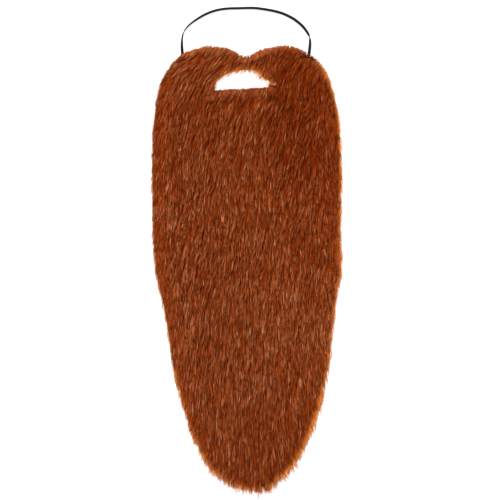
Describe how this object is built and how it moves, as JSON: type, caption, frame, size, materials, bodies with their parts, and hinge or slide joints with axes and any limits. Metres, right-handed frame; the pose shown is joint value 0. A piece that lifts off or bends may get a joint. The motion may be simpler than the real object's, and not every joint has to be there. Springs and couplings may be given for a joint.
{
  "type": "fake beard",
  "caption": "Long full false beard of long-pile fur cloth with a D-shaped mouth hole and a narrow elastic head band.",
  "frame": {"origin": "under the middle of the fur, on the surface that the beard lies on", "axes": "+Y runs up the beard from its point to the moustache edge, +Z out of the fur, +X to the right as the fur is seen from above"},
  "size_m": [0.2363, 0.6087, 0.0168],
  "materials": {
    "knitted_ground": "matt knitted ground, dyed brown",
    "fur": "long combed fibre with a soft sheen",
    "elastic": "matt woven elastic, black"
  },
  "bodies": {
    "root": {"base_cloth": "knitted_ground", "fur_pile": "fur", "elastic_band": "elastic"}
  },
  "joints": []
}
